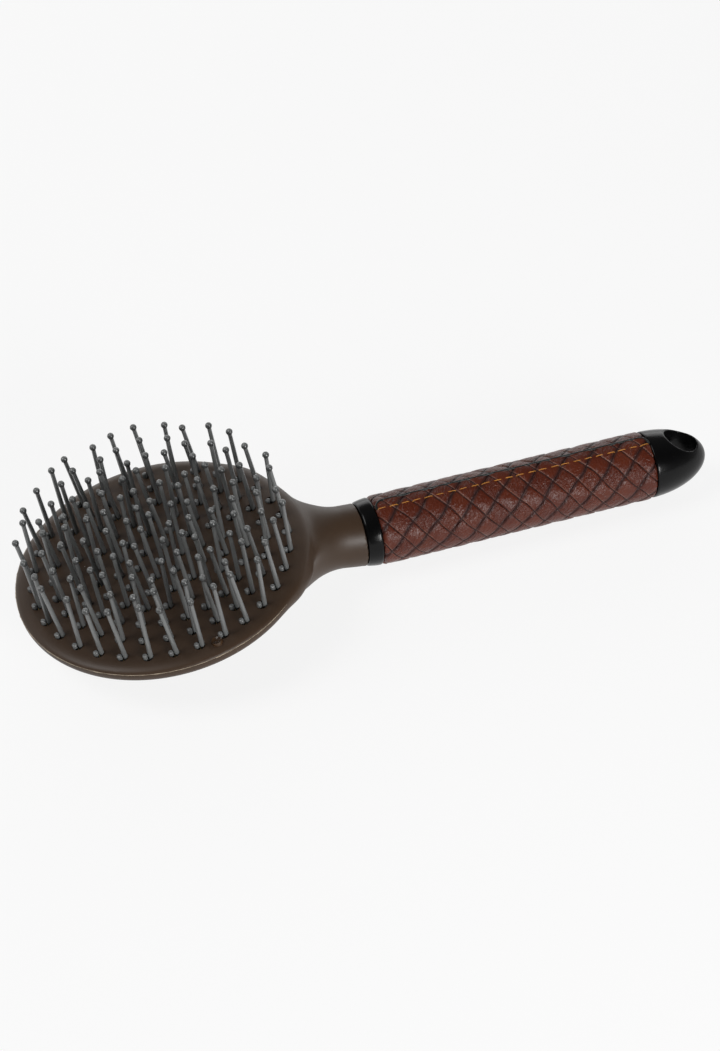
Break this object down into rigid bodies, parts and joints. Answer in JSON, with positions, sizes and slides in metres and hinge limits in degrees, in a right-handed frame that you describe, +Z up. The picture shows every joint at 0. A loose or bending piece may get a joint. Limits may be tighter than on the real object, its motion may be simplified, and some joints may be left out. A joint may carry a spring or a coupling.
{
  "type": "mane brush",
  "caption": "Round-headed mane brush with ball-tipped nylon pins, a leather-wrapped straight handle and a hanging hole.",
  "frame": {"origin": "middle of the length and width, on the surface that the brush lies on when its pins point up", "axes": "+X along the handle to the hanging end, +Z up on the pin side, +Y across"},
  "size_m": [0.2394, 0.0966, 0.0484],
  "materials": {
    "head_plastic": "satin moulded",
    "black_plastic": "satin moulded",
    "core_plastic": "as moulded",
    "leather": "embossed basket weave, waxed",
    "thread": "waxed thread",
    "pin_nylon": "drawn nylon",
    "anchor_metal": "rolled strip"
  },
  "bodies": {
    "root": {"head_body": "head_plastic", "collar_ring": "black_plastic", "handle_core": "core_plastic", "leather_wrap": "leather", "seam_stitches": "thread", "end_cap": "black_plastic", "pin_centre": "pin_nylon", "anchor_centre": "anchor_metal", "pins_ring_1": "pin_nylon", "pins_ring_2": "pin_nylon", "pins_ring_3": "pin_nylon", "pins_ring_4": "pin_nylon", "pins_ring_5": "pin_nylon", "pins_ring_6": "pin_nylon", "anchors_ring_1": "anchor_metal", "anchors_ring_2": "anchor_metal", "anchors_ring_3": "anchor_metal", "anchors_ring_4": "anchor_metal", "anchors_ring_5": "anchor_metal", "anchors_ring_6": "anchor_metal"}
  },
  "joints": []
}
